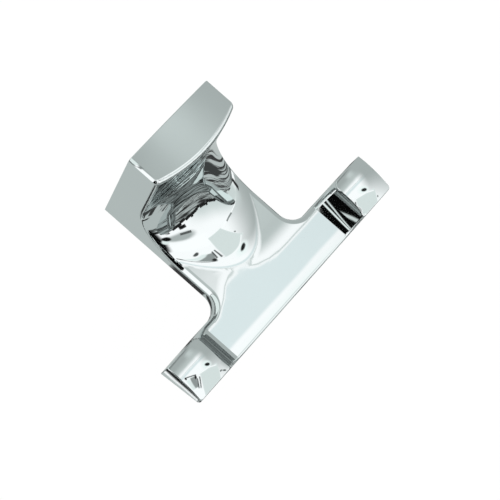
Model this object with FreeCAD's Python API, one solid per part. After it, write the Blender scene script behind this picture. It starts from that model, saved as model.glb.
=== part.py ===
import FreeCAD, Part
import math
import os

# Double robe hook: one chrome-plated casting that hangs on a concealed wall bracket.
# Millimetres. X runs along the arms, +Y points into the wall and +Z is up.
# The origin is on the wall plane, midway between the bracket's two screw holes.
# The shapes are worked out with heights from the casting's flat underside, then lowered to it.

# Overall size
overall_width = 90.0
reach = 58.4

# Wall block
block_width = 34.4
block_height = 40.6
block_depth = 10.4
front_bulge = 3.3
top_crown = 0.8

# Neck, which sweeps down from the block and runs out level on the arms
sweep_side_top = 16.5
neck_below_top = 3.6
sweep_side_end = 26.0
sweep_middle_end = 43.0
sweep_fullness = 0.56

# Arms
arm_depth = 14.2
arm_thickness = 4.6
arm_back_draft = 4.0
inner_corner_radius = 5.5
lip_rise = 2.7
underside_curve_start = 27.0
underside_end_rise = 4.2

# Upturned tips
tip_length = 12.8
tip_back_height = 11.4
tip_front_height = 9.7
tip_crown_radius = 26.0
cove_radius = 6.4

# Edges softened by polishing
shoulder_round = 2.0
brow_round = 1.4
lip_round = 1.0
end_round = 1.0

# Pocket in the back of the block
side_wall = 2.4
top_wall = 3.4
bottom_wall = 5.2
pocket_depth = 7.2
pocket_corner = 2.0

# Pressed steel wall bracket, a channel that fills the pocket's height
bracket_gauge = 1.6
bracket_flange = 6.0
bracket_inside_bend = 0.2
bracket_side_gap = 2.0
bracket_top_gap = 0.1
bracket_bottom_gap = 0.8
screw_hole_diameter = 4.5
screw_hole_spacing = 16.0

# Grub screw in the block's floor, which draws the casting down onto the bracket
grub_diameter = 4.0
grub_thread_gap = 0.05
grub_along_flange = 0.6
grub_recess = 0.8
grub_tip_gap = 0.1
grub_point = 0.7
hex_across = 2.0
hex_depth = 2.2

# Places worked out from the sizes above
sweep_middle_top = block_height - neck_below_top
half_width = overall_width / 2
half_block = block_width / 2
arm_front = -reach
arm_back = arm_front + arm_depth
tip_inner = half_width - tip_length
pocket_floor = bottom_wall
pocket_ceiling = block_height - top_crown - top_wall
bracket_low = pocket_floor + bracket_bottom_gap
bracket_high = pocket_ceiling - bracket_top_gap
bracket_middle = (bracket_low + bracket_high) / 2
grub_middle = -bracket_flange * grub_along_flange
past_surface = 1.0
tiny = 0.01


def vec(x, y, z):
    return FreeCAD.Vector(x, y, z)


def box(x0, x1, y0, y1, z0, z1):
    return Part.makeBox(x1 - x0, y1 - y0, z1 - z0, vec(x0, y0, z0))


def polyline(points):
    return [Part.makeLine(a, b) for a, b in zip(points[:-1], points[1:])]


def flat_face(edges):
    return Part.Face(Part.Wire(Part.sortEdges(edges)[0]))


def edges_where(shape, test):
    """Edges whose middle point and bounding box pass the test, without the points at a sphere's pole."""
    def middle(e):
        return e.valueAt((e.FirstParameter + e.LastParameter) / 2)

    real = [e for e in shape.Edges if e.Length > tiny]
    return [e for e in real if test(middle(e), e.BoundBox)]


def closed_line(points):
    return polyline(points + points[:1])


def is_near(a, b):
    return abs(a - b) < tiny


def patch(rows):
    """Smooth surface across the block from rows of (side, middle) places in (y, z).

    Each row is a parabola from the left side through the middle to the right side."""
    surface = Part.BezierSurface()
    surface.increase(len(rows) - 1, 2)
    for i, (side, middle) in enumerate(rows):
        crest = [2 * m - s for m, s in zip(middle, side)]
        surface.setPole(i + 1, 1, vec(-half_block, *side))
        surface.setPole(i + 1, 2, vec(0, *crest))
        surface.setPole(i + 1, 3, vec(half_block, *side))
    return surface.toShape()


def skin_places(front, top, sweep_top, sweep_end):
    """Control places down one section of the block and neck, from the wall to the arm."""
    down = sweep_top - sweep_fullness * (sweep_top - arm_thickness)
    out = sweep_end + sweep_fullness * (front - sweep_end)
    block = [(0, top), (front, top), (front, sweep_top)]
    return block + [(front, down), (out, arm_thickness), (sweep_end, arm_thickness)]


def block_and_neck():
    """Block and neck as one closed skin: crowned top, bulged front and arched sweep."""
    side_top = block_height - top_crown
    side = skin_places(-block_depth, side_top, sweep_side_top, -sweep_side_end)
    middle = skin_places(-block_depth - front_bulge, block_height, sweep_middle_top, -sweep_middle_end)
    rows = list(zip(side, middle))
    top, front, sweep = patch(rows[0:2]), patch(rows[1:3]), patch(rows[2:6])
    faces = [top, front, sweep]
    left, right = -half_block, half_block
    run_out = (arm_back + arm_front) / 2
    for x in (left, right):
        outline = [e for f in (top, front, sweep) for e in edges_where(f, lambda c, b: is_near(c.x, x))]
        outline += polyline([vec(x, -sweep_side_end, arm_thickness), vec(x, run_out, arm_thickness),
                             vec(x, run_out, 0), vec(x, 0, 0), vec(x, 0, side_top)])
        faces.append(flat_face(outline))
    back = edges_where(top, lambda c, b: is_near(c.y, 0))
    back += polyline([vec(left, 0, side_top), vec(left, 0, 0), vec(right, 0, 0), vec(right, 0, side_top)])
    level = edges_where(sweep, lambda c, b: is_near(c.z, arm_thickness))
    level += polyline([vec(left, -sweep_side_end, arm_thickness), vec(left, run_out, arm_thickness),
                       vec(right, run_out, arm_thickness), vec(right, -sweep_side_end, arm_thickness)])
    underside = closed_line([vec(left, 0, 0), vec(right, 0, 0),
                             vec(right, run_out, 0), vec(left, run_out, 0)])
    end = closed_line([vec(left, run_out, 0), vec(right, run_out, 0),
                       vec(right, run_out, arm_thickness), vec(left, run_out, arm_thickness)])
    faces += [flat_face(edges) for edges in (back, level, underside, end)]
    shell = Part.Shell(faces)
    shell.sewShape()
    solid = Part.Solid(shell)
    if solid.Volume < 0:
        solid.reverse()
    return solid


def arms():
    """Front view of both arms, with a cove up to each rough tip, carried through the arms' depth."""
    foot = tip_inner - cove_radius
    cove_top = arm_thickness + cove_radius
    tip_rough = max(tip_back_height, tip_front_height) + cove_radius
    half_turn = math.radians(45)
    middle_x = foot + cove_radius * math.sin(half_turn)
    middle_z = cove_top - cove_radius * math.cos(half_turn)
    left_cove = Part.Arc(vec(-foot, arm_back, arm_thickness),
                         vec(-middle_x, arm_back, middle_z),
                         vec(-tip_inner, arm_back, cove_top)).toShape()
    right_cove = left_cove.mirror(vec(0, 0, 0), vec(1, 0, 0))
    outline = [left_cove, right_cove]
    outline += polyline([vec(-foot, arm_back, arm_thickness), vec(foot, arm_back, arm_thickness)])
    outline += polyline([vec(-tip_inner, arm_back, cove_top), vec(-tip_inner, arm_back, tip_rough),
                         vec(-half_width, arm_back, tip_rough), vec(-half_width, arm_back, 0),
                         vec(half_width, arm_back, 0), vec(half_width, arm_back, tip_rough),
                         vec(tip_inner, arm_back, tip_rough), vec(tip_inner, arm_back, cove_top)])
    solid = flat_face(outline).extrude(vec(0, -arm_depth, 0))
    lean = tip_rough * math.tan(math.radians(arm_back_draft))
    wedge = closed_line([vec(-overall_width, arm_back, 0), vec(-overall_width, arm_back - lean, tip_rough),
                         vec(-overall_width, arm_back, tip_rough)])
    return solid.cut(flat_face(wedge).extrude(vec(2 * overall_width, 0, 0)))


def above_tip(side):
    """What comes off above one tip, to leave a crown that is a sphere through its four corners."""
    slope = math.atan((tip_back_height - tip_front_height) / arm_depth)
    half_diagonal = math.hypot(tip_length / 2, arm_depth / 2 / math.cos(slope))
    centre_depth = math.sqrt(tip_crown_radius ** 2 - half_diagonal ** 2)
    middle_x = side * (half_width - tip_length / 2)
    middle_y = (arm_back + arm_front) / 2
    middle_z = (tip_back_height + tip_front_height) / 2
    centre = vec(middle_x, middle_y + centre_depth * math.sin(slope),
                 middle_z - centre_depth * math.cos(slope))
    rough = box(middle_x - tip_length, middle_x + tip_length, arm_front - past_surface,
                arm_back + past_surface, arm_thickness + cove_radius / 2, tip_back_height + tip_crown_radius)
    return rough.cut(Part.makeSphere(tip_crown_radius, centre, vec(-1, 0, 0)))


def below_arms():
    """What comes off below the arms: the underside rises to the lip and curves up to both ends."""
    run = half_width - underside_curve_start
    radius = (run ** 2 + underside_end_rise ** 2) / (2 * underside_end_rise)
    past_end = 1.2
    turn = past_end * math.asin(run / radius)

    def on_arc(share):
        return vec(underside_curve_start + radius * math.sin(share * turn), arm_back,
                   radius * (1 - math.cos(share * turn)))

    right = Part.Arc(on_arc(0), on_arc(0.5), on_arc(1)).toShape()
    left = right.mirror(vec(0, 0, 0), vec(1, 0, 0))
    start, end = on_arc(0), on_arc(1)
    outline = [left, right]
    outline += polyline([vec(-start.x, start.y, start.z), start])
    outline += polyline([end, vec(end.x, end.y, -block_height), vec(-end.x, end.y, -block_height),
                         vec(-end.x, end.y, end.z)])
    return flat_face(outline).extrude(vec(0, -arm_depth * past_end, lip_rise * past_end))


def pocket():
    """Hollow in the back of the block, rounded at its four corners."""
    half = half_block - side_wall
    hollow = box(-half, half, -pocket_depth, 0, pocket_floor, pocket_ceiling)
    corners = edges_where(hollow, lambda c, b: b.YLength > tiny)
    return hollow.makeFillet(pocket_corner, corners)


def hook_body():
    """The whole casting, with its edges softened in the order that they meet."""
    body = block_and_neck().fuse(arms()).removeSplitter()
    inner_corners = edges_where(body, lambda c, b: is_near(abs(c.x), half_block) and c.y < arm_back
                                and b.ZLength > tiny)
    body = body.makeFillet(inner_corner_radius, inner_corners)
    shoulders = edges_where(body, lambda c, b: is_near(abs(c.x), half_block) and is_near(c.z, arm_thickness)
                            and b.ZLength < tiny)
    body = body.makeFillet(shoulder_round, shoulders)
    brow = edges_where(body, lambda c, b: b.ZMin > block_height - top_crown - tiny and b.XLength > tiny
                       and c.y < -block_depth / 2)
    body = body.makeFillet(brow_round, brow)
    lip = edges_where(body, lambda c, b: is_near(c.y, arm_front) and is_near(c.z, arm_thickness)
                      and b.YLength < tiny)
    body = body.makeFillet(lip_round, lip)
    ends = edges_where(body, lambda c, b: is_near(abs(c.x), half_width) and b.XLength < tiny
                       and b.YLength < tiny)
    body = body.makeFillet(end_round, ends)
    body = body.cut(below_arms())
    for side in (-1, 1):
        body = body.cut(above_tip(side))
    return body.cut(pocket()).cut(grub_hole())


def grub_hole():
    """Threaded hole up through the block's floor, drawn plain at the thread's outer size."""
    radius = grub_diameter / 2 + grub_thread_gap
    return Part.makeCylinder(radius, pocket_floor + 2 * past_surface, vec(0, grub_middle, -past_surface))


def wall_bracket():
    """Channel pressed from sheet, with two screw holes in its web and a flange top and bottom."""
    half = half_block - side_wall - bracket_side_gap
    outer = box(-half, half, -bracket_flange, 0, bracket_low, bracket_high)
    bends = edges_where(outer, lambda c, b: is_near(c.y, 0) and b.XLength > tiny)
    outer = outer.makeFillet(bracket_inside_bend + bracket_gauge, bends)
    inner = box(-half, half, -bracket_flange, -bracket_gauge, bracket_low + bracket_gauge,
                bracket_high - bracket_gauge)
    inner_bends = edges_where(inner, lambda c, b: is_near(c.y, -bracket_gauge) and b.XLength > tiny)
    bracket = outer.cut(inner.makeFillet(bracket_inside_bend, inner_bends))
    for side in (-1, 1):
        height = bracket_middle + side * screw_hole_spacing / 2
        hole = Part.makeCylinder(screw_hole_diameter / 2, bracket_flange, vec(0, 0, height), vec(0, -1, 0))
        bracket = bracket.cut(hole)
    return bracket


def set_screw():
    """Grub screw with a hexagon socket below and a flat-ended point above."""
    low = grub_recess
    high = bracket_low - grub_tip_gap
    radius = grub_diameter / 2
    screw = Part.makeCylinder(radius, high - low - grub_point, vec(0, grub_middle, low))
    point = Part.makeCone(radius, radius - grub_point, grub_point, vec(0, grub_middle, high - grub_point))
    corner = hex_across / 2 / math.cos(math.radians(30))
    turns = [math.radians(60 * i) for i in range(6)]
    hexagon = [vec(corner * math.cos(a), grub_middle + corner * math.sin(a), low) for a in turns]
    socket = flat_face(closed_line(hexagon)).extrude(vec(0, 0, hex_depth))
    return screw.fuse(point).removeSplitter().cut(socket)


os.makedirs("parts", exist_ok=True)
for name, make in (("hook_body", hook_body), ("wall_bracket", wall_bracket), ("set_screw", set_screw)):
    part = make()
    part.translate(vec(0, 0, -bracket_middle))
    part.exportStep(os.path.join("parts", name + ".step"))
    print(name, part.isValid(), round(part.Volume, 1), len(part.Solids), len(part.Faces))
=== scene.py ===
import math

import bmesh
import bpy
from bpy.props import FloatProperty, FloatVectorProperty, PointerProperty
from mathutils import Matrix, Vector


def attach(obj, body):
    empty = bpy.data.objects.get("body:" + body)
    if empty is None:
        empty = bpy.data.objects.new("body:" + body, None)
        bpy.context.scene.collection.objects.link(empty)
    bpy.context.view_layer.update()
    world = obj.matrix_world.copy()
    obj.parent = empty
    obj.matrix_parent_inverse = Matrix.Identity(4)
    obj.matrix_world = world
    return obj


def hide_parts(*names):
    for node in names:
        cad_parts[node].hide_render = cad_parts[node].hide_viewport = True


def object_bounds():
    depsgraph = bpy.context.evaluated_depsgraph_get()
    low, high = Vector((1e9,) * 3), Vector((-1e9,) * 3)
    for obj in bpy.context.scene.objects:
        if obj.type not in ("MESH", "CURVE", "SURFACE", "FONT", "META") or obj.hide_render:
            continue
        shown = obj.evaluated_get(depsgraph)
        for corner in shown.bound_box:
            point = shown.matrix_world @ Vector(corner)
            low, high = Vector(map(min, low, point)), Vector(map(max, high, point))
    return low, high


bl_info = {
    "name": "Double Robe Hook",
    "version": (1, 0, 0),
    "blender": (4, 5, 0),
    "location": "3D View > Sidebar > Robe Hook",
    "description": "Dresses a chrome double robe hook and sets it in a pale studio",
    "category": "Object",
}

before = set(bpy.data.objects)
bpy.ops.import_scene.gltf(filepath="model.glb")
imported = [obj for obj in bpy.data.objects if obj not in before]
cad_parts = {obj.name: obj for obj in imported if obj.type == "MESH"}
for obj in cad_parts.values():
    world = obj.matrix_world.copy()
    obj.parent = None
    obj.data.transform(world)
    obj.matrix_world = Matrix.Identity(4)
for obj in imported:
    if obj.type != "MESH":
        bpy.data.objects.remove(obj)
cad_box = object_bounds()
BODY = "root"
MM = 0.001

# The casting's own sizes in millimetres, as its solid has them
UNDERSIDE = -21.15
HALF_WIDTH, HALF_BLOCK = 45.0, 17.2
ARM_TOP, ARM_BACK, ARM_FRONT = 4.6, -44.2, -58.4
TIP_INNER, TIP_BACK, TIP_FRONT, CROWN_RADIUS = 32.2, 11.4, 9.7, 26.0
COVE_RADIUS, COVE_HALF_TURN = 6.4, 20.0
TOP_SIDE, TOP_CROWN, FRONT_SIDE, FRONT_BULGE = 39.8, 0.8, -10.4, -3.3
SWEEP_SIDE = ((-10.4, 16.5), (-10.4, 9.836), (-17.264, 4.6), (-26.0, 4.6))
SWEEP_MIDDLE = ((-13.7, 37.0), (-13.7, 18.856), (-26.592, 4.6), (-43.0, 4.6))

# How the polishing bends the arm's flat: places in millimetres, forward tilts in degrees. The tilt grows from
# BOW_START to the lip, and falls off behind ROOT_START, which bulges back round BULGE_MIDDLE. It falls off
# less on the left, by a share that goes from LEFT_SHARE up to 1.
BOW_START, BOW_BACK, BOW_LIP = -54.0, 4.0, 7.0
ROOT_START, ROOT_RATE, ROOT_MOST = -47.6, 0.55, 5.5
ROOT_BULGE, BULGE_MIDDLE, BULGE_WIDTH = 7.0, -8.0, 8.0
LEFT_SHARE, MIDDLE_SHARE, SHARE_SPAN = 0.4, 0.85, 26.0
FLAT_CUTS_Y = (-30, -33, -36, -38, -40, -42, -44, -46, ROOT_START, BOW_START, -56.2)
FLAT_CUTS_X = (-19, -15, -12, -9, -6, -3, 0, 4, 8, 12, 16)

# How the casting's mesh is joined up and softened, in millimetres and degrees
RIM_ROUNDING, SHARP_RIM = 0.25, 28.0
WELD, CORNER_WELD, TOUCH, LEVEL_ANGLE = 0.002, 0.16, 0.001, 0.2
TIP_CORNER, TIP_CORNER_REACH = Vector((32.45, -57.2, -11.25)), Vector((0.95, 0, 0.35))
FOOT_INSIDE, FOOT_OUTSIDE = 0.4, 0.5
FILLET_REACH = 2.2

# When a face counts as lying on an exact surface, and which faces share a normal: gap in millimetres, area in
# square millimetres, and cosines of the angle between normals
ON_SURFACE, SAME_WAY, LARGE_FACE = 0.02, 0.97, 3.0
BESIDE_WAY, BLEND_WAY = 0.8, 0.85

# Marks in the finishes: noise scales, the darkest share of a colour, and how far the roughness spreads
SHADE_SCALE, WIPE_SCALE, CHROME_DARKEST, CHROME_SPREAD = 55.0, 400.0, 0.97, 0.3
STEEL_DARKEST, STEEL_SPREAD, SCRATCH_DEPTH = 0.82, 0.25, 0.02 * MM
BRACKET_GRAIN, SCREW_GRAIN = (90, 4000, 4000), (3000, 3000, 400)

# The painted room: share of light that the plating returns, tints of its grays, and the unevenness in it
RETURNED = 0.85
GREENISH, BLUISH, NEUTRAL = (0.965, 1.0, 0.99), (0.957, 1.0, 1.003), (1.0, 1.0, 1.0)
WOBBLE, WOBBLE_SCALE = 0.02, 7.0
TEAR_WIDTH, TEAR_DEPTH, TEAR_LEAN = 3.7, 4.0, 0.13
STREAK_STRETCH, STREAK_DARK, STREAK_LIGHT = (2.2, 2.2, 26.0), 0.40, 0.62

# The floor: share of its own glow that the camera sees, and the glow's strength
FLOOR_SHARE, FLOOR_GLOW, FLOOR_GRAY = 0.75, 1.06, 0.9

# The camera, fitted to the photo's corners: place in millimetres and two of its axes
CAMERA_PLACE = (-222.79, -61.73, 506.46)
CAMERA_RIGHT, CAMERA_UP = (0.61866, -0.75003, 0.23392), (0.67960, 0.66026, 0.31969)


# Settings

class ChromeSettings(bpy.types.PropertyGroup):
    """Finish of the plated casting"""
    colour: FloatVectorProperty(
        name="Colour", description="Plating's colour at full reflection",
        subtype="COLOR", size=3, default=(0.83, 0.87, 0.875), min=0, max=1)
    roughness: FloatProperty(
        name="Roughness", description="Blur of the polished plating's reflections",
        default=0.035, min=0, max=1)
    ripple_width: FloatProperty(
        name="Ripple Width", description="Distance between the polisher's shallow waves",
        default=0.012, min=0.0005, unit="LENGTH")
    ripple_depth: FloatProperty(
        name="Ripple Depth", description="Depth of the polisher's shallow waves",
        default=0.00003, min=0, precision=6, unit="LENGTH")


class SteelSettings(bpy.types.PropertyGroup):
    """Finish of the bracket and grub screw"""
    colour: FloatVectorProperty(
        name="Colour", description="Colour of the plain steel",
        subtype="COLOR", size=3, default=(0.52, 0.52, 0.51), min=0, max=1)
    roughness: FloatProperty(
        name="Roughness", description="Blur of the brushed steel's reflections",
        default=0.34, min=0, max=1)


class StudioSettings(bpy.types.PropertyGroup):
    """Floor and camera"""
    floor_drop: FloatProperty(
        name="Floor Drop", description="Height of the hook above the floor",
        default=0.08, min=0, unit="LENGTH")
    floor_size: FloatProperty(
        name="Floor Size", description="Side of the square floor",
        default=6.0, min=1, unit="LENGTH")
    focal_length: FloatProperty(
        name="Focal Length", description="Camera's lens for a sensor 36 mm wide",
        default=139.95, min=10, subtype="DISTANCE_CAMERA")


# Helpers

def node(tree, kind, **inputs):
    """A new shader node, with inputs set or linked by name."""
    made = tree.nodes.new(kind)
    for name, value in inputs.items():
        socket = made.inputs[name.replace("_", " ")]
        if isinstance(value, bpy.types.NodeSocket):
            tree.links.new(value, socket)
        else:
            socket.default_value = value
    return made


def new_material(name):
    """A node material holding a Principled shader wired to its output."""
    material = bpy.data.materials.new(name)
    material.use_nodes = True
    return material, material.node_tree, material.node_tree.nodes["Principled BSDF"]


def new_object(name, mesh, material):
    made = bpy.data.objects.new(name, mesh)
    bpy.context.scene.collection.objects.link(made)
    mesh.materials.clear()
    mesh.materials.append(material)
    return made


def chrome_material(settings):
    material, tree, shader = new_material("polished_chrome")
    place = node(tree, "ShaderNodeTexCoord").outputs["Object"]
    shade = node(tree, "ShaderNodeTexNoise", Vector=place, Scale=SHADE_SCALE, Detail=3.0)
    tint = node(tree, "ShaderNodeMix")
    tint.data_type = "RGBA"
    tree.links.new(shade.outputs["Fac"], tint.inputs["Factor"])
    tint.inputs[6].default_value = (*[c * CHROME_DARKEST for c in settings.colour], 1)
    tint.inputs[7].default_value = (*settings.colour, 1)
    tree.links.new(tint.outputs[2], shader.inputs["Base Color"])
    wipe = node(tree, "ShaderNodeTexNoise", Vector=place, Scale=WIPE_SCALE, Detail=2.0)
    gloss = node(tree, "ShaderNodeMapRange", Value=wipe.outputs["Fac"])
    gloss.inputs["To Min"].default_value = settings.roughness * (1 - CHROME_SPREAD)
    gloss.inputs["To Max"].default_value = settings.roughness * (1 + CHROME_SPREAD)
    tree.links.new(gloss.outputs["Result"], shader.inputs["Roughness"])
    wave = node(tree, "ShaderNodeTexNoise", Vector=place, Scale=1 / settings.ripple_width, Detail=1.0)
    ripple = node(tree, "ShaderNodeBump", Strength=1.0, Distance=settings.ripple_depth,
                  Height=wave.outputs["Fac"])
    tree.links.new(ripple.outputs["Normal"], shader.inputs["Normal"])
    shader.inputs["Metallic"].default_value = 1.0
    return material


def steel_material(name, settings, grain):
    """Plain brushed steel, with the scale of its grain along x, y and z."""
    material, tree, shader = new_material(name)
    place = node(tree, "ShaderNodeTexCoord").outputs["Object"]
    stretched = node(tree, "ShaderNodeMapping", Vector=place, Scale=grain)
    scratch = node(tree, "ShaderNodeTexNoise", Vector=stretched.outputs["Vector"], Scale=1.0, Detail=4.0)
    tint = node(tree, "ShaderNodeMix")
    tint.data_type = "RGBA"
    tree.links.new(scratch.outputs["Fac"], tint.inputs["Factor"])
    tint.inputs[6].default_value = (*[c * STEEL_DARKEST for c in settings.colour], 1)
    tint.inputs[7].default_value = (*settings.colour, 1)
    tree.links.new(tint.outputs[2], shader.inputs["Base Color"])
    gloss = node(tree, "ShaderNodeMapRange", Value=scratch.outputs["Fac"])
    gloss.inputs["To Min"].default_value = settings.roughness * (1 - STEEL_SPREAD)
    gloss.inputs["To Max"].default_value = settings.roughness * (1 + STEEL_SPREAD)
    tree.links.new(gloss.outputs["Result"], shader.inputs["Roughness"])
    bump = node(tree, "ShaderNodeBump", Strength=0.5, Distance=SCRATCH_DEPTH, Height=scratch.outputs["Fac"])
    tree.links.new(bump.outputs["Normal"], shader.inputs["Normal"])
    shader.inputs["Metallic"].default_value = 1.0
    return material


def linear(part):
    """The light behind a part from 0 to 1 of a displayed colour."""
    return part / 12.92 if part < 0.04045 else ((part + 0.055) / 1.055) ** 2.4


def tone(shown, tint=GREENISH):
    """The light that makes the plating show a gray of 0 to 255, tinted unless it is near black or white."""
    if not 60 < shown < 250:
        tint = NEUTRAL
    return [linear(shown * share / 255) / RETURNED for share in tint]


class Paint:
    """Shapes and colours laid over each other in a shader."""

    def __init__(self, tree):
        self.tree = tree

    def math(self, operation, *values):
        made = node(self.tree, "ShaderNodeMath")
        made.operation = operation
        for socket, value in zip(made.inputs, values):
            if isinstance(value, bpy.types.NodeSocket):
                self.tree.links.new(value, socket)
            else:
                socket.default_value = value
        return made.outputs[0]

    def step(self, value, low, high):
        """0 before low and 1 past high, or the other way round when high is lower."""
        made = node(self.tree, "ShaderNodeMapRange", Value=value)
        made.interpolation_type = "SMOOTHSTEP"
        rising = high > low
        made.inputs["From Min"].default_value = min(low, high)
        made.inputs["From Max"].default_value = max(low, high)
        made.inputs["To Min"].default_value = 0.0 if rising else 1.0
        made.inputs["To Max"].default_value = 1.0 if rising else 0.0
        return made.outputs["Result"]

    def where(self, *masks):
        total = masks[0]
        for mask in masks[1:]:
            total = self.math("MULTIPLY", total, mask)
        return total

    def over(self, below, above, mask):
        mix = node(self.tree, "ShaderNodeMix")
        mix.data_type = "RGBA"
        self.tree.links.new(mask, mix.inputs["Factor"])
        for socket, colour in ((mix.inputs[6], below), (mix.inputs[7], above)):
            if isinstance(colour, bpy.types.NodeSocket):
                self.tree.links.new(colour, socket)
            else:
                socket.default_value = (*colour, 1)
        return mix.outputs[2]

    def local(self, place, centre, size, turn):
        made = node(self.tree, "ShaderNodeMapping")
        made.vector_type = "TEXTURE"
        self.tree.links.new(place, made.inputs["Vector"])
        made.inputs["Location"].default_value = (*centre, 0)
        made.inputs["Rotation"].default_value = (0, 0, math.radians(turn))
        made.inputs["Scale"].default_value = (*size, 1)
        return made.outputs[0]

    def blob(self, place, centre, size, turn=0, soft=0.25):
        """An oval with half sizes, turned in degrees."""
        far = node(self.tree, "ShaderNodeVectorMath")
        far.operation = "LENGTH"
        self.tree.links.new(self.local(place, centre, size, turn), far.inputs[0])
        return self.step(far.outputs["Value"], 1 + soft, 1 - soft)

    def bar(self, place, centre, size, turn=0, soft=0.25):
        """A bar with half sizes, turned in degrees, its ends and sides equally soft."""
        x, y, _ = node(self.tree, "ShaderNodeSeparateXYZ",
                       Vector=self.local(place, centre, size, turn)).outputs
        ends = soft * min(size) / size[0]
        sides = soft * min(size) / size[1]
        return self.where(self.step(self.math("ABSOLUTE", x), 1 + ends, 1 - ends),
                          self.step(self.math("ABSOLUTE", y), 1 + sides, 1 - sides))

    def look(self):
        """The direction looked in, a little bent by noise.

        It comes as x and y, then turn and height in degrees, then those two as one place.
        """
        direction = node(self.tree, "ShaderNodeTexCoord").outputs["Generated"]
        wobble = node(self.tree, "ShaderNodeTexNoise", Vector=direction, Scale=WOBBLE_SCALE, Detail=2.0)
        centred = node(self.tree, "ShaderNodeVectorMath")
        centred.operation = "MULTIPLY_ADD"
        self.tree.links.new(wobble.outputs["Color"], centred.inputs[0])
        centred.inputs[1].default_value = [WOBBLE] * 3
        centred.inputs[2].default_value = [-WOBBLE / 2] * 3
        bent = node(self.tree, "ShaderNodeVectorMath")
        bent.operation = "ADD"
        self.tree.links.new(direction, bent.inputs[0])
        self.tree.links.new(centred.outputs[0], bent.inputs[1])
        x, y, z = node(self.tree, "ShaderNodeSeparateXYZ", Vector=bent.outputs[0]).outputs
        turn = self.math("DEGREES", self.math("ARCTAN2", x, self.math("MULTIPLY", y, -1.0)))
        height = self.math("DEGREES", self.math("ARCSINE", z))
        place = node(self.tree, "ShaderNodeCombineXYZ", X=turn, Y=height).outputs[0]
        return x, y, turn, height, place

    def curve(self, turn, height, start, slope, bend):
        """How far a height lies above the curve start + slope turn + bend turn squared."""
        line = self.math("MULTIPLY_ADD", turn, bend, slope)
        line = self.math("MULTIPLY_ADD", turn, line, start)
        return self.math("SUBTRACT", height, line)

    def ragged(self, height, turn):
        """Height with square steps torn out of it, leaning down to the right."""
        steps = self.math("SNAP", turn, TEAR_WIDTH)
        place = node(self.tree, "ShaderNodeCombineXYZ", X=steps).outputs[0]
        torn = node(self.tree, "ShaderNodeTexWhiteNoise", Vector=place)
        torn.noise_dimensions = "3D"
        shift = self.math("MULTIPLY_ADD", torn.outputs["Value"], TEAR_DEPTH, -TEAR_DEPTH / 2)
        lean = self.math("MULTIPLY_ADD", turn, TEAR_LEAN, shift)
        return self.math("ADD", height, lean)

    def streaks(self, dark, light):
        """Level streaks between two grays."""
        direction = node(self.tree, "ShaderNodeTexCoord").outputs["Generated"]
        stretched = node(self.tree, "ShaderNodeMapping", Vector=direction)
        stretched.inputs["Scale"].default_value = STREAK_STRETCH
        grain = node(self.tree, "ShaderNodeTexNoise", Vector=stretched.outputs[0], Scale=1.0, Detail=4.0)
        mask = self.step(grain.outputs["Fac"], STREAK_DARK, STREAK_LIGHT)
        return self.over(tone(dark), tone(light), mask)


# Exact surfaces of the casting. Each gives a point's gap from the surface and the surface's normal there,
# in millimetres with heights from the underside.

def crown(point):
    """The sphere that crowns the tip on the point's side."""
    slope = math.atan((TIP_BACK - TIP_FRONT) / (ARM_BACK - ARM_FRONT))
    half_tip = (HALF_WIDTH - TIP_INNER) / 2
    half_diagonal = math.hypot(half_tip, (ARM_BACK - ARM_FRONT) / 2 / math.cos(slope))
    depth = math.sqrt(CROWN_RADIUS ** 2 - half_diagonal ** 2)
    centre = Vector((math.copysign(HALF_WIDTH - half_tip, point.x),
                     (ARM_BACK + ARM_FRONT) / 2 + depth * math.sin(slope),
                     (TIP_BACK + TIP_FRONT) / 2 - depth * math.cos(slope)))
    out = point - centre
    return out.length - CROWN_RADIUS, out.normalized()


def shallow_cove():
    """Radius of the hollow up to each tip, and its axis on the right, in x and z, once it is flattened."""
    half_chord = COVE_RADIUS / math.sqrt(2)
    turn = math.radians(COVE_HALF_TURN)
    radius = half_chord / math.sin(turn)
    back = (half_chord / math.tan(turn)) / math.sqrt(2)
    middle_x = TIP_INNER - COVE_RADIUS / 2
    middle_z = ARM_TOP + COVE_RADIUS / 2
    return radius, middle_x - back, middle_z + back


def cove(point):
    """The hollow that turns the arm up into the tip, from a crease at its foot."""
    radius, axis_x, axis_z = shallow_cove()
    inwards = Vector((math.copysign(axis_x, point.x) - point.x, 0, axis_z - point.z))
    return radius - inwards.length, inwards.normalized()


def arm_flat(point):
    """The arm's top, which the polishing tilts forward a little, most at the lip and least round the neck."""
    droop = max(0.0, min(1.0, (BOW_START - point.y) / (BOW_START - ARM_FRONT)))
    root = ROOT_START + ROOT_BULGE * math.exp(-((point.x - BULGE_MIDDLE) / BULGE_WIDTH) ** 2)
    most = ROOT_MOST * max(LEFT_SHARE, min(1.0, MIDDLE_SHARE + point.x / SHARE_SPAN))
    loss = max(0.0, min(most, (point.y - root) * ROOT_RATE))
    tilt = math.radians(BOW_BACK + (BOW_LIP - BOW_BACK) * droop - loss)
    inside = abs(point.x) < TIP_INNER - COVE_RADIUS + 0.01
    return (point.z - ARM_TOP if inside else 1.0), Vector((0, -math.sin(tilt), math.cos(tilt)))


def block_top(point):
    """The block's top, which rises a little to its middle."""
    across = point.x / HALF_BLOCK
    gap = point.z - TOP_SIDE - TOP_CROWN * (1 - across ** 2)
    return gap, Vector((2 * TOP_CROWN * across / HALF_BLOCK, 0, 1)).normalized()


def block_front(point):
    """The block's bulged front."""
    across = point.x / HALF_BLOCK
    gap = FRONT_SIDE + FRONT_BULGE * (1 - across ** 2) - point.y
    return gap, Vector((-2 * FRONT_BULGE * across / HALF_BLOCK, -1, 0)).normalized()


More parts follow.
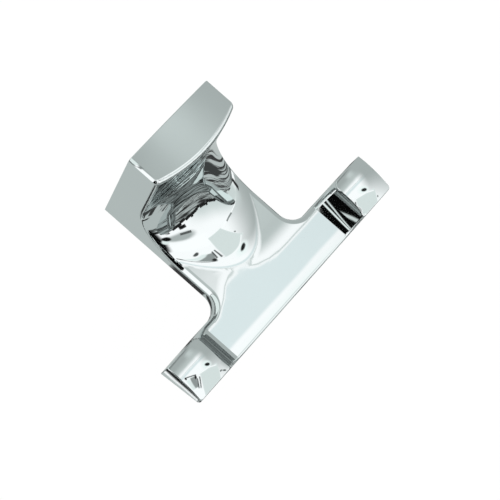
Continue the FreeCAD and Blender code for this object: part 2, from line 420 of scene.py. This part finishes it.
def sweep(point):
    """The arched neck: at each place across, a curve of four control places down from the block to the arm.

    Near its foot, where it is flatter than the arm's tilted flat, it takes the flat's normal.
    """
    across = max(-1.0, min(1.0, point.x / HALF_BLOCK))
    share = 1 - across ** 2
    spread = [Vector(m) - Vector(s) for s, m in zip(SWEEP_SIDE, SWEEP_MIDDLE)]
    places = [Vector(s) + share * d for s, d in zip(SWEEP_SIDE, spread)]

    def along(poles, t):
        a, b, c, d = poles
        return a * (1 - t) ** 3 + b * 3 * t * (1 - t) ** 2 + c * 3 * t ** 2 * (1 - t) + d * t ** 3

    low, high = 0.0, 1.0
    for _ in range(40):
        t = (low + high) / 2
        if sum(along(places, t)) > point.y + point.z:
            low = t
        else:
            high = t
    step = 0.0001
    down = along(places, min(1, t + step)) - along(places, max(0, t - step))
    sideways = along(spread, t) * (-2 * across / HALF_BLOCK)
    normal = Vector((1, *sideways)).cross(Vector((0, *down))).normalized()
    if normal.z < 0 or normal.y > 0.5:
        normal.negate()
    bowed = arm_flat(point)[1]
    if normal.z > bowed.z:
        normal = bowed
    gap = (Vector((point.y, point.z)) - along(places, t)).length
    return (gap if point.y > SWEEP_MIDDLE[3][0] - 1 else 1.0), normal


SURFACES = (crown, cove, arm_flat, block_top, block_front, sweep)


def exact_normals(bm):
    """A normal for every face corner.

    It is the exact surface's where the face lies on one and the face's own on a large flat. Other corners take
    the nearest such normal beside them, or else the mean of the faces round them.
    """
    lift = Vector((0, 0, UNDERSIDE))
    found = {}
    for face in bm.faces:
        points = [v.co / MM - lift for v in face.verts]
        found[face] = None
        for surface in SURFACES:
            here = [surface(p) for p in points]
            if all(abs(gap) < ON_SURFACE and normal.dot(face.normal) > SAME_WAY for gap, normal in here):
                found[face] = {v: normal for v, (gap, normal) in zip(face.verts, here)}
                break
        if found[face] is None and face.calc_area() > LARGE_FACE * MM ** 2:
            found[face] = {v: face.normal for v in face.verts}
    corners = []
    for face in bm.faces:
        for loop in face.loops:
            vert = loop.vert
            if found[face]:
                corners.append(found[face][vert])
                continue
            beside = [found[f][vert] for f in vert.link_faces if found[f]]
            beside = [n for n in beside if n.dot(face.normal) > BESIDE_WAY]
            if beside:
                corners.append(max(beside, key=face.normal.dot))
                continue
            total = Vector()
            for other in vert.link_loops:
                if other.face.normal.dot(face.normal) > BLEND_WAY:
                    total += other.face.normal * other.calc_angle()
            corners.append(total.normalized())
    return corners


# Pieces

class HOOK_OT_casting(bpy.types.Operator):
    """Dress the chrome casting"""
    bl_idname = "hook.casting"
    bl_label = "Polished Casting"

    def execute(self, context):
        bm = self.softened_solid()
        for face in bm.faces:
            face.smooth = True
        bm.normal_update()
        normals = exact_normals(bm)
        mesh = bpy.data.meshes.new("chrome_casting")
        bm.to_mesh(mesh)
        bm.free()
        mesh.normals_split_custom_set(normals)
        casting = new_object("chrome_casting", mesh, chrome_material(context.scene.hook_chrome))
        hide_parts("hook_body")
        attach(casting, BODY)
        return {"FINISHED"}

    def softened_solid(self):
        """The solid's own mesh, joined up, its flats laid out in cells and its sharp rims rounded."""
        bm = bmesh.new()
        bm.from_mesh(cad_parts["hook_body"].data)
        bmesh.ops.remove_doubles(bm, verts=bm.verts, dist=WELD * MM)
        crowded = [v for v in bm.verts if self.crowds_tip_corner(v.co / MM)]
        bmesh.ops.remove_doubles(bm, verts=crowded, dist=CORNER_WELD * MM)
        bmesh.ops.dissolve_limit(bm, angle_limit=math.radians(LEVEL_ANGLE), verts=bm.verts, edges=bm.edges)
        for y in FLAT_CUTS_Y:
            self.cut(bm, self.arm_top(bm), (0, y, 0), (0, 1, 0))
        for x in FLAT_CUTS_X:
            self.cut(bm, self.arm_top(bm), (x, 0, 0), (1, 0, 0))
        self.flatten_coves(bm)
        rims = [e for e in bm.edges if e.is_convex and e.calc_face_angle(0) > math.radians(SHARP_RIM)]
        bmesh.ops.bevel(bm, geom=rims, offset=RIM_ROUNDING * MM, offset_type="OFFSET", segments=3,
                        profile=0.5, affect="EDGES", material=-1, clamp_overlap=False)
        # Cuts beside each cove's foot keep the bend in the lip's long strips close to it
        foot = TIP_INNER - COVE_RADIUS
        for x in (-foot - FOOT_OUTSIDE, -foot + FOOT_INSIDE, foot - FOOT_INSIDE, foot + FOOT_OUTSIDE):
            self.cut(bm, [*bm.verts, *bm.edges, *bm.faces], (x, 0, 0), (1, 0, 0))
        for vert in bm.verts:
            for i in range(3):
                vert.co[i] = min(max(vert.co[i], cad_box[0][i]), cad_box[1][i])
        return bm

    def crowds_tip_corner(self, point):
        """Whether a point is at the inner front corner of a tip, where the mesher leaves slivers."""
        beside = abs(abs(point.x) - TIP_CORNER.x) < TIP_CORNER_REACH.x
        level = abs(point.z - TIP_CORNER.z) < TIP_CORNER_REACH.z
        return beside and level and point.y < TIP_CORNER.y

    def arm_top(self, bm):
        """The faces of the arm's flat top, and the corners and edges round them."""
        flat = [f for f in bm.faces if abs(f.calc_center_median().z / MM - UNDERSIDE - ARM_TOP) < TOUCH]
        around = {item for f in flat for item in (*f.verts, *f.edges)}
        return [*flat, *around]

    def cut(self, bm, geometry, place, normal):
        """Divide geometry along a plane through a place in millimetres."""
        bmesh.ops.bisect_plane(bm, geom=geometry, dist=TOUCH * MM, plane_co=Vector(place) * MM, plane_no=normal)

    def flatten_coves(self, bm):
        """Fill the round hollows up to the tips a little, which leaves a crease along each foot."""
        radius, axis_x, axis_z = shallow_cove()
        for vert in bm.verts:
            x, z = abs(vert.co.x) / MM, vert.co.z / MM - UNDERSIDE
            out = Vector((x - (TIP_INNER - COVE_RADIUS), z - (ARM_TOP + COVE_RADIUS)))
            if out.x < TOUCH or out.y > -TOUCH:
                continue
            if not COVE_RADIUS - 0.01 < out.length < COVE_RADIUS + FILLET_REACH:
                continue
            towards = out.normalized()
            start = Vector((TIP_INNER - COVE_RADIUS - axis_x, ARM_TOP + COVE_RADIUS - axis_z))
            along = start.dot(towards)
            reach = -along + math.sqrt(along ** 2 - start.length_squared + radius ** 2)
            moved = towards * (COVE_RADIUS - reach)
            vert.co.x -= math.copysign(moved.x * MM, vert.co.x)
            vert.co.z -= moved.y * MM


class HOOK_OT_fixings(bpy.types.Operator):
    """Give the wall bracket and grub screw their steel finishes"""
    bl_idname = "hook.fixings"
    bl_label = "Bracket and Grub Screw"

    def execute(self, context):
        settings = context.scene.hook_steel
        for name, grain in (("wall_bracket", BRACKET_GRAIN), ("set_screw", SCREW_GRAIN)):
            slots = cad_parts[name].data.materials
            slots.clear()
            slots.append(steel_material(name + "_steel", settings, grain))
        return {"FINISHED"}


class HOOK_OT_stage(bpy.types.Operator):
    """Set the world, the floor, the reflected cards and the camera"""
    bl_idname = "hook.stage"
    bl_label = "Studio"

    def execute(self, context):
        studio = context.scene.hook_studio
        self.make_world(context.scene)
        self.make_floor(studio)
        self.make_table()
        self.make_ceiling()
        self.make_side_frame()
        self.make_camera(context.scene, studio)
        context.scene.view_settings.view_transform = "Standard"
        return {"FINISHED"}

    def make_world(self, scene):
        """White for the camera, and for the chrome a painted room, plainer where it is mirrored twice."""
        world = bpy.data.worlds.new("studio")
        world.use_nodes = True
        tree = world.node_tree
        tree.nodes.clear()
        path = node(tree, "ShaderNodeLightPath")
        paint = Paint(tree)
        once = self.room(paint)
        twice = self.mirrored_room(paint)
        again = paint.math("GREATER_THAN", path.outputs["Glossy Depth"], 1.5)
        room = node(tree, "ShaderNodeBackground", Color=paint.over(once, twice, again), Strength=1.0)
        white = node(tree, "ShaderNodeBackground", Color=(1, 1, 1, 1), Strength=1.0)
        pick = node(tree, "ShaderNodeMixShader", Fac=path.outputs["Is Glossy Ray"])
        tree.links.new(white.outputs[0], pick.inputs[1])
        tree.links.new(room.outputs[0], pick.inputs[2])
        node(tree, "ShaderNodeOutputWorld", Surface=pick.outputs[0])
        scene.world = world

    def mirrored_room(self, paint):
        """The room as the arm shows it to the neck: streaks with a light line and a ragged dark band."""
        _, _, turn, height, _ = paint.look()
        room = paint.over(paint.streaks(24, 156), tone(242), paint.step(height, 6, 4))
        ragged = paint.ragged(height, turn)
        room = paint.over(room, tone(36), paint.step(ragged, 2.5, 2))
        return paint.over(room, paint.streaks(44, 180), paint.step(ragged, -2, -2.5))

    def room(self, paint):
        """The room round the hook, painted layer over layer.

        Turn and height are in degrees: turn is 0 in front and 90 on the right, height is upwards. Overhead the
        direction's own x and y serve better, -y being in front.
        """
        step, where, over, blob, bar = paint.step, paint.where, paint.over, paint.blob, paint.bar
        x, y, turn, height, place = paint.look()
        # Overhead: bluish over the arm, a gray line in white at the neck's root, then grays towards the wall
        room = over(tone(229, BLUISH), tone(250), step(y, -0.092, -0.084))
        room = over(room, tone(206), where(step(y, -0.080, -0.077), step(y, -0.069, -0.072)))
        room = over(room, tone(196), where(step(y, -0.05, 0.03), step(x, -0.6, -0.4)))
        room = over(room, tone(168), where(step(y, 0.0, 0.16), step(x, -0.6, -0.4)))
        room = over(room, tone(136), where(step(y, 0.215, 0.235), step(y, 0.275, 0.25)))
        room = over(room, tone(232), step(y, 0.27, 0.30))
        room = over(room, tone(200), where(step(y, 0.02, 0.12), step(x, 0.22, 0.40), step(x, 0.60, 0.42),
                                           step(y, 0.21, 0.16)))
        room = over(room, tone(252), step(y, -0.118, -0.15))
        # The curved top edge of the window in front, gray wall above it on the right, small things before it
        edge = paint.curve(turn, height, 45.0, -0.45, -0.0028)
        room = over(room, tone(172), where(step(turn, 30, 82), step(height, 66, 50), step(edge, 0, 1)))
        room = over(room, tone(252), where(step(edge, 0.5, -0.5), step(turn, -58, -50), step(turn, 74, 68)))
        room = over(room, tone(212), where(step(height, 24, -2), step(turn, -26, 10), step(turn, 74, 68),
                                           step(height, -40, -35)))
        room = over(room, tone(255), where(step(edge, -0.2, 0.3), step(edge, 1.6, 1.1), step(turn, -2, 4),
                                           step(turn, 68, 60)))
        room = over(room, tone(88), bar(place, (12, 41.8), (11, 1.1), -30))
        room = over(room, tone(140), bar(place, (45, 20.3), (8, 0.9), -35))
        room = over(room, tone(80), blob(place, (-28, 57), (2.6, 4.5), 10))
        room = over(room, tone(176), blob(place, (-34, 19), (15, 6.5), 12, 0.4))
        room = over(room, tone(255), where(step(height, 27, 31), step(height, 50, 44), step(turn, -50, -46),
                                           step(turn, 4, -14)))
        room = over(room, tone(90), bar(place, (-28, 16.5), (6.5, 1.7), 17))
        room = over(room, tone(22), bar(place, (-27, 6.6), (4.0, 2.6), 8))
        # Below the horizon: a table top in streaks, with a ragged dark edge
        ragged = paint.ragged(height, turn)
        room = over(room, tone(30), where(step(ragged, 0.4, 0.0), step(turn, -46, -40), step(turn, 62, 56)))
        room = over(room, paint.streaks(46, 180), step(ragged, -3.5, -4.0))
        room = over(room, tone(14), bar(place, (52, -25), (8, 2.4), -4))
        room = over(room, tone(46), bar(place, (72.5, -8), (0.9, 16), 0))
        # The unlit left side, with a bright gap behind it and the edge of a bright frame in it
        room = over(room, tone(254), where(step(turn, -91, -92), step(turn, -106, -104), step(height, 60, 52)))
        dark = where(step(turn, -47, -51), step(turn, -93, -92), step(height, 60, 52), step(height, -42, -36))
        room = over(room, tone(8), dark)
        room = over(room, tone(235), blob(place, (-48.5, 21), (2.6, 6.0), 12))
        room = over(room, tone(14), blob(place, (-46.5, 15), (3.2, 4.5), 0))
        return room

    def make_floor(self, studio):
        """A matt floor that glows enough to be white, less the hook's shadow."""
        mesh = bpy.data.meshes.new("floor")
        bm = bmesh.new()
        bmesh.ops.create_grid(bm, x_segments=1, y_segments=1, size=studio.floor_size / 2)
        bmesh.ops.translate(bm, vec=(0, 0, cad_box[0][2] - studio.floor_drop), verts=bm.verts)
        bm.to_mesh(mesh)
        bm.free()
        material = bpy.data.materials.new("pale_floor")
        material.use_nodes = True
        tree = material.node_tree
        tree.nodes.clear()
        path = node(tree, "ShaderNodeLightPath").outputs
        paint = Paint(tree)
        seen = paint.math("MAXIMUM", path["Is Camera Ray"],
                          paint.math("MAXIMUM", path["Is Glossy Ray"], path["Is Transmission Ray"]))
        share = paint.math("MULTIPLY", seen, FLOOR_SHARE)
        matt = node(tree, "ShaderNodeBsdfDiffuse", Color=(FLOOR_GRAY, FLOOR_GRAY, FLOOR_GRAY, 1))
        glow = node(tree, "ShaderNodeEmission", Color=(1, 1, 1, 1), Strength=FLOOR_GLOW)
        pick = node(tree, "ShaderNodeMixShader", Fac=share)
        tree.links.new(matt.outputs[0], pick.inputs[1])
        tree.links.new(glow.outputs[0], pick.inputs[2])
        node(tree, "ShaderNodeOutputMaterial", Surface=pick.outputs[0])
        floor = new_object("floor", mesh, material)
        floor.visible_glossy = False  # the plating mirrors the painted room instead

    def painted_card(self, name, centre, size, mask, colour, paint, turn=None):
        """A card that only reflections see, clear where its mask is 0 and level unless a matrix turns it."""
        tree = paint.tree
        glow = node(tree, "ShaderNodeEmission", Color=colour, Strength=1.0)
        clear = node(tree, "ShaderNodeBsdfTransparent")
        pick = node(tree, "ShaderNodeMixShader", Fac=mask)
        tree.links.new(clear.outputs[0], pick.inputs[1])
        tree.links.new(glow.outputs[0], pick.inputs[2])
        node(tree, "ShaderNodeOutputMaterial", Surface=pick.outputs[0])
        bm = bmesh.new()
        bmesh.ops.create_grid(bm, x_segments=1, y_segments=1, size=0.5)
        bmesh.ops.scale(bm, vec=(size[0] * MM, size[1] * MM, 1), verts=bm.verts)
        if turn:
            bmesh.ops.rotate(bm, matrix=turn, verts=bm.verts)
        bmesh.ops.translate(bm, vec=Vector(centre) * MM, verts=bm.verts)
        mesh = bpy.data.meshes.new(name)
        bm.to_mesh(mesh)
        bm.free()
        made = new_object(name, mesh, bpy.data.materials[name])
        made.visible_camera = False
        made.visible_diffuse = False
        made.visible_shadow = False

    def card_paint(self, name, first, second):
        """A painter for a new material of the card's name, and the place on the card, in millimetres."""
        material = bpy.data.materials.new(name)
        material.use_nodes = True
        tree = material.node_tree
        tree.nodes.clear()
        paint = Paint(tree)
        whole = node(tree, "ShaderNodeTexCoord").outputs["Object"]
        axes = node(tree, "ShaderNodeSeparateXYZ", Vector=whole)
        along = [paint.math("MULTIPLY", axes.outputs[i], 1 / MM) for i in (first, second)]
        return paint, node(tree, "ShaderNodeCombineXYZ", X=along[0], Y=along[1]).outputs[0]

    def make_ceiling(self):
        """The stand and lamp arm over the hook, which both tips mirror."""
        paint, place = self.card_paint("ceiling_stand", 0, 1)
        blob, bar, over = paint.blob, paint.bar, paint.over
        shapes = (
            (248, blob(place, (205, -190), (66, 40), -25, 0.5)),
            (222, bar(place, (146, -414), (165, 190), -17, 0.05)),
            (250, bar(place, (17, -262), (14, 78), -26, 0.6)),
            (252, bar(place, (120, -202), (80, 6), -14, 0.7)),
            (252, bar(place, (262, -256), (80, 6), -27, 0.7)),
            (150, bar(place, (-35, -215), (34, 62), -22, 0.3)),
            (236, bar(place, (-78, -205), (18, 62), -8, 0.5)),
            (96, bar(place, (-24, -140), (60, 6), -29, 0.6)),
            (30, blob(place, (-74, -122), (11, 15), 0, 0.5)),
            (24, blob(place, (8, -182), (13, 22), -28, 0.4)),
            (84, bar(place, (-14, -250), (7, 55), -30, 0.6)),
            (88, bar(place, (10, -260), (7, 62), -32, 0.6)),
            (30, blob(place, (212, -192), (40, 17), -28, 0.3)),
            (70, blob(place, (224, -186), (14, 6), -20, 0.5)),
            (80, blob(place, (353, -397), (16, 16), 0, 0.5)),
        )
        colour, mask = None, None
        for shade, shape in shapes:
            colour = over(colour or tone(shade), tone(shade), shape)
            mask = paint.math("MAXIMUM", mask, shape) if mask else shape
        self.painted_card("ceiling_stand", (150, -200, 400), (900, 900), mask, colour, paint)

    def make_table(self):
        """The table under the hook: dark streaks in front of the block that are partly painted shade, and
        painted shadow where the arm keeps the light off it.
        """
        paint, place = self.card_paint("table_below", 0, 1)
        x, y, _ = node(paint.tree, "ShaderNodeSeparateXYZ", Vector=place).outputs
        grain = node(paint.tree, "ShaderNodeTexNoise", Vector=paint.local(place, (0, 0), (60, 7), 20),
                     Scale=1.0, Detail=4.0)
        # Dark streaks in front of the block, partly painted shade under the neck and arms
        streaks_and_shade = paint.where(paint.step(grain.outputs["Fac"], 0.53, 0.45), paint.step(y, -20, -25),
                             paint.step(x, -57, -53))
        colour = paint.over(tone(182), tone(56), streaks_and_shade)
        colour = paint.over(colour, tone(62), paint.bar(place, (20, -54), (62, 11), 0, 0.25))
        # A dark and a bright line that the left tip's end mirrors
        colour = paint.over(colour, tone(34), paint.bar(place, (-65.6, -51), (4.2, 30), 0, 0.1))
        colour = paint.over(colour, tone(250), paint.bar(place, (-61.15, -51), (0.25, 30), 0, 0.4))
        self.painted_card("table_below", (0, -30, -60), (420, 420), 1.0, colour, paint)

    def make_side_frame(self):
        """A dark flag left of the arms with slanted bright gaps, which the right cove mirrors."""
        paint, place = self.card_paint("left_flag", 1, 2)
        bar, over = paint.bar, paint.over
        colour = over(tone(6), tone(238), bar(place, (-50, 118), (4, 60), 24, 0.5))
        colour = over(colour, tone(225), bar(place, (-49, 84), (1.6, 44), 15, 0.6))
        colour = over(colour, tone(210), bar(place, (-56, 30), (2, 26), -10, 0.6))
        colour = over(colour, tone(235), bar(place, (-51, -24), (9, 7), 0, 0.4))
        across = node(paint.tree, "ShaderNodeSeparateXYZ", Vector=place).outputs[0]
        mask = paint.step(across, -64, -62)
        turn = Matrix.Rotation(math.radians(90), 3, "Y")
        self.painted_card("left_flag", (-100, -51, 100), (300, 22), mask, colour, paint, turn)

    def make_camera(self, scene, studio):
        """The photo's camera."""
        data = bpy.data.cameras.new("camera")
        data.sensor_width = 36
        data.lens = studio.focal_length
        data.clip_start = 0.01
        camera = bpy.data.objects.new("camera", data)
        scene.collection.objects.link(camera)
        right, up = Vector(CAMERA_RIGHT), Vector(CAMERA_UP)
        turned = Matrix((right, up, right.cross(up))).transposed().to_4x4()
        camera.matrix_world = Matrix.Translation(Vector(CAMERA_PLACE) * MM) @ turned
        scene.camera = camera


class HOOK_PT_panel(bpy.types.Panel):
    """Lists the hook's pieces in the sidebar"""
    bl_idname = "HOOK_PT_panel"
    bl_label = "Robe Hook"
    bl_space_type = "VIEW_3D"
    bl_region_type = "UI"
    bl_category = "Robe Hook"

    def draw(self, context):
        layout = self.layout
        for operator in OPERATORS:
            layout.operator(operator.bl_idname)


OPERATORS = (HOOK_OT_casting, HOOK_OT_fixings, HOOK_OT_stage)
SETTINGS = {"hook_chrome": ChromeSettings, "hook_steel": SteelSettings, "hook_studio": StudioSettings}


def register():
    for name, group in SETTINGS.items():
        bpy.utils.register_class(group)
        setattr(bpy.types.Scene, name, PointerProperty(type=group))
    for cls in (*OPERATORS, HOOK_PT_panel):
        bpy.utils.register_class(cls)


def unregister():
    for cls in reversed((*OPERATORS, HOOK_PT_panel)):
        bpy.utils.unregister_class(cls)
    for name, group in SETTINGS.items():
        delattr(bpy.types.Scene, name)
        bpy.utils.unregister_class(group)


def main():
    register()
    bpy.ops.hook.casting()
    bpy.ops.hook.fixings()
    bpy.ops.hook.stage()


if __name__ == "__main__":
    main()
